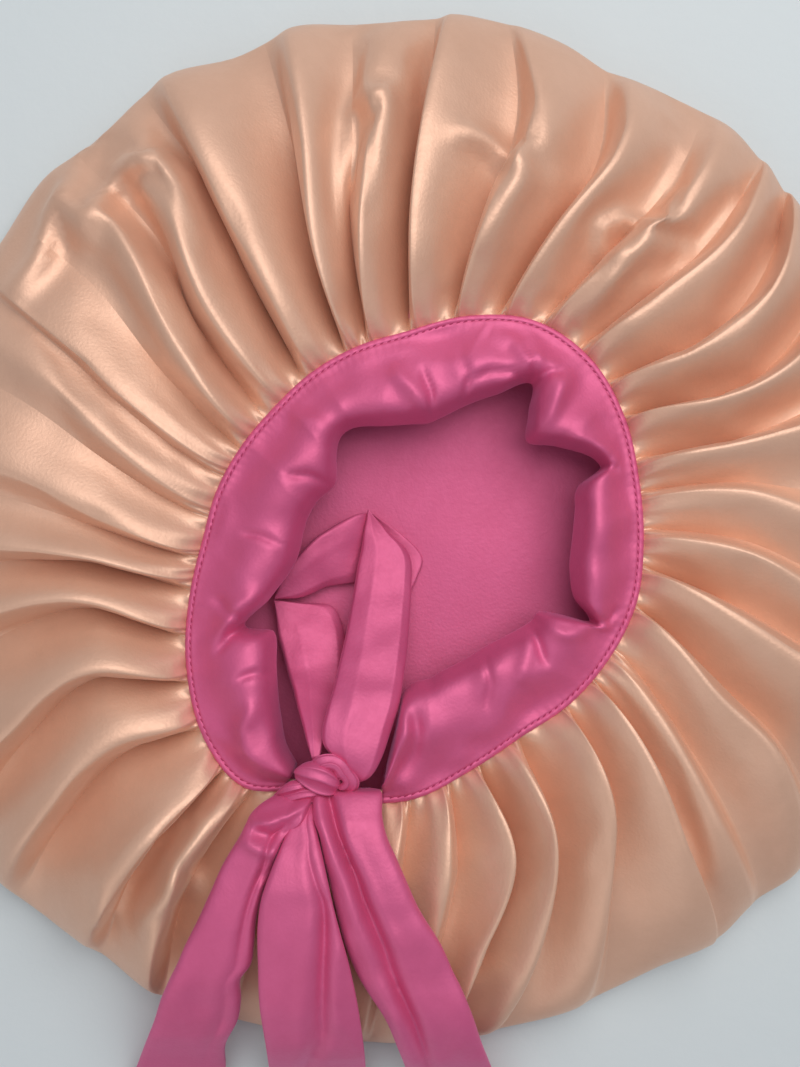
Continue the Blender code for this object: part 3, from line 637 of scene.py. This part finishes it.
band_mesh, band_turn, band_down = sheet_grid(560, 51)
band_degrees = BAND[0][0] + (BAND[-1][0] - BAND[0][0]) * band_turn
band_row = band_down * BAND_LAST
width = BAND_WIDTH * table_curve(BAND, 1, band_degrees)
puff = BAND_PUFF * table_curve(BAND, 2, band_degrees)
peak = table_curve(BAND, 3, band_degrees)
edge = table_curve(BAND_SECTION, 1, band_row) * MM
share = table_curve(BAND_SECTION, 2, band_row)
inwards = edge + share * np.maximum(width - WELT, 0.5 * MM)
radius = seam_radius(band_degrees) - inwards
angle = np.radians(band_degrees)
band_x, band_y = radius * np.cos(angle), radius * np.sin(angle)
upper = np.clip(BAND_FOLD_ROW - band_row, 0, 1)
rising = np.sin(0.5 * math.pi * np.clip(share / peak, 0, 1)) ** 2
falling = 1 - np.clip((share - peak) / (1.02 - peak), 0, 1) ** 2.2
rolled = np.where(share < peak, rising, falling)
height = BAND_TOP + table_curve(BAND_SECTION, 3, band_row) * (BAND_BOTTOM - BAND_TOP)
height -= BAND_DROP * table_curve(BAND_SECTION, 4, band_row)
height += table_curve(BAND_SECTION, 5, band_row) * MM
height += upper * puff * rolled
inner_share = upper * np.clip(inwards / (6 * MM), 0, 1)
height += inner_share * ridge_heights(band_x, band_y, BAND_RIDGES)
crumple = 1 - 2 * np.abs(roughly(band_x * 42, band_y * 42, 0 * height + 3))
dimples = roughly(band_x * 85, band_y * 85, 0 * height)
height += inner_share * (BAND_CREASE_H * crumple + BAND_DIMPLE_H * dimples)
near_stitches = upper * np.clip(1 - inwards / (7 * MM), 0, 1)
height += BAND_GATHER_H * near_stitches * np.sin(np.radians(band_degrees) * 150)
band = finished("band_satin", band_mesh, np.column_stack((band_x, band_y, height)), rose_satin,
                wall=BAND_WALL)
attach(band, "root")
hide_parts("band")

# Topstitching of the band
# A line of short slanted stitches in crimson thread, sewn through all the layers just inside the
# band's outer edge.
STITCH_IN = 0.0015
STITCH_PITCH = 0.0027
STITCH_SIZE = (0.0021, 0.0006, 0.0005)
STITCH_SLANT = 18


def soundings(pieces):
    """What pieces offer to lie on, as trees to sound from above."""
    bpy.context.view_layer.update()
    graph = bpy.context.evaluated_depsgraph_get()
    return [BVHTree.FromObject(piece, graph) for piece in pieces]


def height_under(trees, x, y):
    heights = [0.0]
    for tree in trees:
        hit = tree.ray_cast(Vector((x, y, 1.0)), Vector((0, 0, -1)))[0]
        if hit is not None:
            heights.append(hit.z)
    return max(heights)


seam_line = np.linspace(BAND[0][0] + 1.5, BAND[-1][0] - 1.5, 2000)
seam_angles = np.radians(seam_line)
seam_places = (seam_radius(seam_line) - STITCH_IN) * np.array([np.cos(seam_angles), np.sin(seam_angles)])
sewn = np.concatenate(([0], np.cumsum(np.hypot(*np.diff(seam_places, axis=1)))))
band_top = soundings([band])
stitches = bmesh.new()
for run in np.arange(STITCH_PITCH / 2, sewn[-1], STITCH_PITCH):
    x, y = (np.interp(run, sewn, places) for places in seam_places)
    ahead = [np.interp(run + STITCH_PITCH / 2, sewn, places) for places in seam_places]
    turned = math.atan2(ahead[1] - y, ahead[0] - x) + math.radians(STITCH_SLANT)
    place = Matrix.Translation((x, y, height_under(band_top, x, y))) @ Matrix.Rotation(turned, 4, "Z")
    place @= Matrix.Diagonal((*STITCH_SIZE, 1.0))
    bmesh.ops.create_icosphere(stitches, subdivisions=2, radius=0.5, matrix=place)
stitching_mesh = bpy.data.meshes.new("band_stitching")
stitches.to_mesh(stitching_mesh)
stitches.free()
stitching_mesh.shade_smooth()
crimson_thread = bpy.data.materials.new("crimson_thread")
crimson_thread.use_nodes = True
thread_shader = crimson_thread.node_tree.nodes["Principled BSDF"]
thread_shader.inputs["Base Color"].default_value = (0.40, 0.02, 0.10, 1)
thread_shader.inputs["Roughness"].default_value = 0.6
stitching_mesh.materials.append(crimson_thread)
stitching = bpy.data.objects.new("band_stitching", stitching_mesh)
bpy.context.collection.objects.link(stitching)
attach(stitching, "root")

# Upper loop of the bow
# The tie's soft tube of rose satin runs from the knot into the opening, lies on the lining, turns at
# a sharp peak, and comes back over a second corner to the knot; its other edge is folded under it.
LEG_PLEATS = 0.14         # depth of the soft lengthwise folds, as a share of the thickness
KNOT_PLEATS = 0.35        # and of the knot's, which is pulled tight
PLEATS_ROUND = 7          # of those folds round a tube
SQUARED = 0.7             # below 1, which makes a tube's section squarer than an ellipse
HEADING_STEP = 0.2        # rows before and behind between which a tube's heading is taken

# Each stretch of the tube: its left and right edge as x, y, z in mm, then its thickness in mm
LOOP_LEG_RIGHT = [
    (-22, -88.0, 43, -19.5, -90.2, 42, 1), (-27, -81.5, 45, -13.8, -87, 43, 6),
    (-31.5, -76, 45, -9.8, -80, 42, 9), (-32, -70, 43, -6.7, -71, 40, 10),
    (-30.2, -62, 40, -3.6, -61, 36, 11), (-28.3, -56, 36, -2.2, -53, 31, 11),
    (-25.9, -46, 29, -0.6, -42, 25, 11), (-23, -33, 22, 0.5, -28, 18, 10),
    (-20.7, -20, 16, 1.0, -17, 13, 9), (-18.9, -9, 13, 1.0, -8, 11, 8),
    (-17.6, -3, 12, -1.4, -2.5, 10, 7), (-16.7, 3, 11, -7, 2.8, 10, 5),
    (-15.7, 8, 10, -11.5, 7.5, 9, 3), (-15.2, 11.7, 9.5, -14.9, 11.6, 9.5, 0.6),
]
LOOP_STRIP = [
    (-13.8, 10, 7, -17.5, -15, 6, 1.5), (-18, 10.2, 10, -21, -15.5, 7, 3),
    (-24.2, 7.7, 12, -26, -16.2, 7, 5), (-30, 4.2, 13, -31, -17.1, 8, 5),
    (-35.7, 0.2, 14, -35.7, -19.3, 9, 5), (-42.6, -7.3, 14, -40.5, -21, 10, 4),
    (-47.2, -14.8, 13, -45.5, -21.3, 11, 3), (-50.1, -21.2, 12, -50.0, -21.5, 12, 0.6),
]
LOOP_LEG_LEFT = [
    (-50.1, -21.8, 11, -49.6, -22.0, 11, 0.6), (-49.5, -27, 12, -39, -23.0, 8, 3),
    (-48.9, -32, 13, -29, -24, 7, 4), (-48.4, -36, 14, -25, -30, 8, 6),
    (-46.5, -43, 16, -23.5, -38, 11, 7), (-44.9, -49.4, 19, -23.5, -46, 14, 7),
    (-43, -55, 24, -24.5, -54, 19, 7), (-41.5, -61, 29, -27, -61, 26, 6),
    (-39.2, -69, 36, -29.5, -68, 33, 5), (-37.4, -76, 41, -31.5, -74.5, 39, 4),
    (-36, -81, 43, -33, -80.5, 43, 1),
]
LOOP_UNDER = [
    (-14.4, 9.5, 4, -13.2, 10.0, 6, 0.6), (-16, 2, 3.5, -2, 2.0, 5, 1.6), (-16, -6, 3.5, 5, -6.0, 5, 2),
    (-17, -13, 3.5, 3, -14, 6, 2), (-18, -21, 7, 0, -21, 7, 2), (-20, -32, 12, -2, -29, 11, 2),
    (-22.5, -45, 19, -3.5, -42, 17, 2), (-26, -61, 29, -6, -60, 28, 2),
    (-17, -66, 30, -15, -66, 30, 0.6),
]


def in_place(x, y, z):
    """A place read off the view from above at SEEN_LEVEL, moved in under the camera for its height."""
    share = (VIEW_HEIGHT - z) / (VIEW_HEIGHT - SEEN_LEVEL)
    return np.stack((VIEW_CENTRE[0] + (x - VIEW_CENTRE[0]) * share,
                     VIEW_CENTRE[1] + (y - VIEW_CENTRE[1]) * share, z), axis=-1)


def tube_points(left, right, thick, turn, run, pleats=0.0):
    """Places round a soft flattened tube between two edges; run is its heading, and pleats is the depth
    of its folds as a share of its thickness."""
    half = (right - left) / 2
    up = np.cross(half, run)
    up /= np.maximum(np.linalg.norm(up, axis=1, keepdims=True), 1e-12)
    up *= np.where(up[:, 2:] < 0, -1, 1)
    cosine, sine = np.cos(2 * math.pi * turn), np.sin(2 * math.pi * turn)
    across = np.sign(cosine) * np.abs(cosine) ** SQUARED
    folded = pleats * np.abs(np.sin(PLEATS_ROUND * math.pi * turn)) ** 0.7
    bulge = np.sign(sine) * np.abs(sine) ** SQUARED * (1 - folded)
    return (left + right) / 2 + half * across[:, None] + up * (thick / 2 * bulge)[:, None]


def tube_stretch(rows, turn, along, pleats=0.0):
    """Places of a stretch of tube whose edges and thickness come from a table."""
    numbers = np.arange(len(rows), dtype=float)

    def edges(at):
        values = [smooth_curve(numbers, column(rows, k) * MM, at) for k in range(7)]
        return in_place(*values[0:3]), in_place(*values[3:6]), values[6]

    at = along * (len(rows) - 1)
    left, right, thick = edges(at)
    before_left, before_right, _ = edges(at - HEADING_STEP)
    after_left, after_right, _ = edges(at + HEADING_STEP)
    run = after_left + after_right - before_left - before_right
    return tube_points(left, right, thick, turn, run, pleats)


def joined(name, stretches, material, crumple=0.0004):
    """One piece of several closed tubes, each given as its grid's counts and a maker of its points."""
    whole = bmesh.new()
    for around, long, maker in stretches:
        bm, turn, along = sheet_grid(around, long)
        points = maker(turn, along)
        points[:, 2] += crumple * roughly(*(points * 110).T)
        for vert, point in zip(bm.verts, points):
            vert.co = point
        bmesh.ops.remove_doubles(bm, verts=bm.verts, dist=2e-5)
        ends = [edge for edge in bm.edges if edge.is_boundary]
        bmesh.ops.holes_fill(bm, edges=ends, sides=0)
        bmesh.ops.recalc_face_normals(bm, faces=bm.faces)
        part = bpy.data.meshes.new("part")
        bm.to_mesh(part)
        bm.free()
        whole.from_mesh(part)
        bpy.data.meshes.remove(part)
    mesh = bpy.data.meshes.new(name)
    whole.to_mesh(mesh)
    whole.free()
    mesh.shade_smooth()
    mesh.materials.append(material)
    piece = bpy.data.objects.new(name, mesh)
    bpy.context.collection.objects.link(piece)
    return piece


loop_upper = joined("loop_upper_satin", [
    (96, 90, lambda turn, along: tube_stretch(LOOP_LEG_RIGHT, turn, along, LEG_PLEATS)),
    (64, 60, lambda turn, along: tube_stretch(LOOP_STRIP, turn, along, LEG_PLEATS)),
    (80, 70, lambda turn, along: tube_stretch(LOOP_LEG_LEFT, turn, along, LEG_PLEATS)),
    (24, 90, lambda turn, along: tube_stretch(LOOP_UNDER, turn, along)),
], rose_satin, crumple=0.0008)
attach(loop_upper, "root")
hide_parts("loop_upper")

# Tails and lower loop of the bow
# Flattened tubes of rose satin that leave the knot side by side, lie over the crown's folds and its
# rim and end on the table; the lower loop is double, and each has a soft lengthwise fold.

# Rows: y, x of the left edge and of the right one in mm as seen from above, thickness in mm, then the
# place across and the depth in mm of the lengthwise fold
TAIL_LEFT = [
    (-89, -40, -33, 3, 0.6, 0.0), (-93, -47, -34, 5, 0.6, 0.5), (-97, -54, -36, 7, 0.6, 0.5),
    (-101, -58.4, -37.5, 8, 0.6, 0.5), (-105, -60.5, -40, 9, 0.7, 1.0), (-110, -63, -46, 9, 0.7, 2.0),
    (-120, -69, -50, 9, 0.8, 2.0), (-130, -73.5, -54, 9, 0.8, 1.5), (-140, -78, -56.5, 9, 0.8, 1.5),
    (-150, -83, -57.5, 9, 0.8, 1.5), (-157, -86, -58.5, 9, 0.8, 1.0), (-163, -89, -62.5, 9, 0.8, 0.5),
    (-170, -92, -62.3, 8, 0.8, 1.0), (-178, -94.5, -63.5, 7, 0.8, 1.5), (-187, -98, -68, 7, 0.8, 0.5),
    (-195, -101, -68, 6, 0.7, 0.5), (-205, -105, -69, 5, 0.7, 0.5), (-217, -109, -72, 4, 0.7, 0.5),
    (-218, -109, -72, 1, 0.7, 0.0),
]
LOOP_LOWER = [
    (-90, -38, -32, 3, 0.6, 0.0), (-97, -39.5, -34, 4, 0.6, 0.0), (-103, -42.5, -35.0, 6, 0.6, 0.5),
    (-110, -46, -33.6, 8, 0.7, 0.5), (-117, -49, -32, 10, 0.7, 1.0), (-128, -53.2, -29.7, 12, 0.8, 2.0),
    (-135, -55.2, -28.2, 12, 0.85, 3.0), (-145, -56.2, -25.6, 12, 0.80, 4.5),
    (-158, -56, -22, 12, 0.70, 6.0), (-172, -55.5, -19, 12, 0.62, 6.5),
    (-185, -53.5, -17, 11, 0.55, 6.5), (-195, -52, -16, 10, 0.40, 5.5), (-204, -51, -16, 8, 0.35, 3.0),
    (-208, -49, -18, 2, 0.35, 0.0),
]
TAIL_RIGHT = [
    (-91.8, -30, -14, 3, 0.2, 0.0), (-93.5, -34.8, -10, 7, 0.2, 4.0), (-102, -35.5, -9.8, 9, 0.28, 6.5),
    (-110, -33, -8, 9, 0.28, 6.5), (-118, -31.5, -4.5, 9, 0.32, 6.7), (-126, -29.5, -1, 9, 0.35, 6.7),
    (-137, -27, 4, 9, 0.37, 6.7), (-150, -23.5, 12, 9, 0.38, 6.5), (-160, -19.5, 16.5, 9, 0.36, 6.0),
    (-167, -15.5, 20, 9, 0.33, 6.0), (-177, -9, 24, 8, 0.30, 5.5), (-186, -5, 27, 7, 0.29, 4.5),
    (-196, -1, 31, 6, 0.28, 2.5), (-206, 3, 35, 5, 0.28, 2.0), (-218, 7, 39, 4, 0.28, 1.5),
    (-219, 7, 39, 1, 0.28, 0.0),
]

# Swags at the left tail's top: mm of height, mm of width, then the line that each follows in mm
TAIL_SWAGS = [
    (3.0, 2.0, (-33, -93), (-43, -97.6), (-50, -99.5), (-56.7, -100)),
    (3.2, 2.4, (-34, -95), (-40, -104.4), (-45, -110), (-51, -110.2), (-57, -107), (-61, -105)),
    (-2.5, 2.2, (-38, -100), (-44, -104), (-50, -105), (-56, -103.5)),
    (-2.0, 2.4, (-43, -114), (-48, -117), (-53, -122)),
]
LAID_GAP = 0.0006
LAID_STATIONS = 90
SOUNDINGS = 13
LAID_ROUNDS = 3           # times that the height is sounded, each from the last height's view
LAID_REACH = 6            # stations to each side over which the tube bridges hollows
LAYER_IN = 1.2            # mm by which a lower layer is narrower at each edge than the one on it
FOLD_SHARP = 0.060        # width of the lengthwise fold's crease, as a share of the tube's
FOLD_SWELL = 0.22         # swell beside the crease, as a share of its depth
FOLD_SINK = 0.40          # how much lower the cloth lies just beyond it, as a share of its depth
LAID_CREASE_H = 0.0009    # small creases


def laid_tube(rows, pieces, turn, along, ridges=(), layers=1, layer=0):
    """Places of a tube that lies on other pieces and the table along its table's rows, with its ridges;
    of a doubled tube it is the layer of that number from below."""
    trees = soundings(pieces)
    numbers = np.arange(len(rows), dtype=float)

    def values(at):
        return [smooth_curve(numbers, column(rows, k), at) for k in range(6)]

    stations = np.linspace(0, len(rows) - 1, LAID_STATIONS)
    y, left, right, thick, fold, deep = values(stations)
    under = np.full(LAID_STATIONS, SEEN_LEVEL)
    for _ in range(LAID_ROUNDS):
        low = []
        for k in range(LAID_STATIONS):
            ends = in_place(np.array([left[k], right[k]]) * MM, np.array([y[k]] * 2) * MM,
                            np.array([under[k]] * 2))
            shares = np.linspace(-0.04, 1.04, SOUNDINGS)
            low.append(max(height_under(trees, *(ends[0] + (ends[1] - ends[0]) * share)[:2])
                           for share in shares))
        low = np.array(low)
        padded = np.pad(low, LAID_REACH, mode="edge")
        top = np.max([np.roll(padded, shift)[LAID_REACH:-LAID_REACH]
                      for shift in range(-LAID_REACH, LAID_REACH + 1)], axis=0)
        window = 2 * LAID_REACH + 1
        under = np.convolve(np.pad(top, LAID_REACH, mode="edge"), np.full(window, 1 / window), mode="valid")
        under = under + LAID_GAP
    at = along * (len(rows) - 1)
    y, left, right, thick, fold, deep = values(at)
    thick = thick / layers
    middle = np.interp(at, stations, under) + (layer + 0.5) * thick * MM
    covered = (layers - 1 - layer) * LAYER_IN
    left, right, thick = left + covered, right - covered, thick * (1 - 0.08 * (layers - 1))
    deep = np.minimum(deep, 0.75 * thick)
    left_edge = in_place(left * MM, y * MM, middle)
    right_edge = in_place(right * MM, y * MM, middle)
    run = np.column_stack((np.zeros_like(at), -np.ones_like(at), np.zeros_like(at)))
    points = tube_points(left_edge, right_edge, thick * MM, turn, run)
    share = np.linalg.norm(points[:, :2] - left_edge[:, :2], axis=1)
    share /= np.maximum(np.linalg.norm(right_edge[:, :2] - left_edge[:, :2], axis=1), 1e-6)
    upper = np.clip(np.sin(2 * math.pi * turn) * 1.6, 0, 1)
    points[:, 2] -= upper * deep * MM * np.exp(-np.abs(share - fold) / FOLD_SHARP)
    beside_fold = np.exp(-((np.abs(share - fold) - 0.15) / 0.10) ** 2)
    points[:, 2] += upper * FOLD_SWELL * deep * MM * beside_fold
    beyond_fold = np.clip((share - fold) / 0.03, 0, 1) * np.exp(-np.clip(share - fold, 0, 1) / 0.22)
    points[:, 2] -= upper * FOLD_SINK * deep * MM * beyond_fold
    points[:, 2] += upper * ridge_heights(points[:, 0], points[:, 1], ridges)
    creased = 1 - 2 * np.abs(roughly(points[:, 0] * 50, points[:, 1] * 22, 0 * at + 5))
    points[:, 2] += upper * LAID_CREASE_H * creased
    return points


tail_left = joined("tail_left_satin", [
    (110, 150, lambda turn, along: laid_tube(TAIL_LEFT, [crown, band], turn, along, TAIL_SWAGS)),
], rose_satin)
loop_lower = joined("loop_lower_satin", [
    (60, 140, lambda turn, along: laid_tube(LOOP_LOWER, [crown, band], turn, along, (), 2, 0)),
    (120, 140, lambda turn, along: laid_tube(LOOP_LOWER, [crown, band], turn, along, (), 2, 1)),
], rose_satin)
tail_right = joined("tail_right_satin", [
    (120, 150, lambda turn, along: laid_tube(TAIL_RIGHT, [crown, band], turn, along)),
], rose_satin)
for piece, node in ((tail_left, "tail_left"), (loop_lower, "loop_lower"), (tail_right, "tail_right")):
    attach(piece, "root")
    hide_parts(node)

# Knot
# Both ties wound once round each other and pulled tight: a pad on the left, a curl that opens to the
# right, and thin wraps below. Each is a short stretch of tube as in the loop's tables.
KNOT_PAD = [
    (-42.6, -85.5, 44, -42.2, -86.5, 44, 0.6), (-40.5, -83.6, 47, -40, -88.5, 45, 6),
    (-36, -82.8, 49, -36.5, -91, 45, 9), (-31, -84, 49.5, -33, -93.2, 45, 9),
    (-27, -87, 48, -29.5, -93.6, 44.5, 7), (-25, -90, 45, -26.5, -92.8, 44, 0.6),
]
KNOT_CURL = [
    (-37, -82.4, 44, -36, -84.6, 46, 0.6), (-33, -80.2, 46, -32.5, -85.0, 49, 5),
    (-28.6, -79.8, 46, -29.5, -84.6, 50, 5), (-24.6, -81.6, 46, -27.5, -85.2, 50, 5),
    (-21.5, -85.5, 45, -26, -87.4, 49.5, 5), (-18.8, -89.4, 44, -24.2, -89.6, 48, 5),
    (-20.6, -92.2, 43, -25.5, -91.0, 46.5, 4), (-27, -92.6, 43, -27.5, -91.0, 45, 0.6),
]
KNOT_EYE = [
    (-26.6, -90.2, 46, -27.4, -89.2, 46, 0.6), (-25.0, -87.2, 46, -27.2, -87.0, 49, 3),
    (-26.2, -83.8, 46, -27.8, -85.4, 49, 3), (-30.2, -83.4, 46, -29.6, -85.4, 49, 3),
    (-32.2, -86.6, 46, -30.2, -86.8, 48, 2), (-30.2, -89.2, 46, -29.4, -88.0, 46, 0.6),
]
KNOT_WRAPS = [
    [(-50.2, -94.4, 42, -49.8, -95.6, 41, 0.6), (-46, -90.8, 46, -45.6, -94.8, 44, 5),
     (-41, -89.4, 47, -40.4, -93.2, 45, 5), (-36.6, -90.6, 45, -36, -92.8, 44, 0.6)],
    [(-52, -98.4, 41, -51.5, -99.6, 40, 0.6), (-46.5, -94.6, 45, -45.8, -98.6, 43, 5),
     (-40.5, -92.2, 47, -39.0, -97.2, 44, 5.5), (-34.8, -92.0, 47, -34.6, -96, 44, 4),
     (-31.5, -93.2, 44, -31.6, -94.6, 43, 0.6)],
    [(-46, -102, 39, -45, -103, 38, 0.6), (-41.5, -97.5, 43, -39.5, -101, 42, 4),
     (-37.5, -94.0, 45, -34.8, -97.0, 44, 4), (-35.0, -92.0, 44, -33.0, -93.0, 43, 0.6)],
]
knot = joined("knot_satin", [
    (56, 36, lambda turn, along, rows=rows: tube_stretch(rows, turn, along, KNOT_PLEATS))
    for rows in [KNOT_PAD, KNOT_CURL, KNOT_EYE] + KNOT_WRAPS
], rose_satin, crumple=0.0002)
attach(knot, "root")
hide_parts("knot")
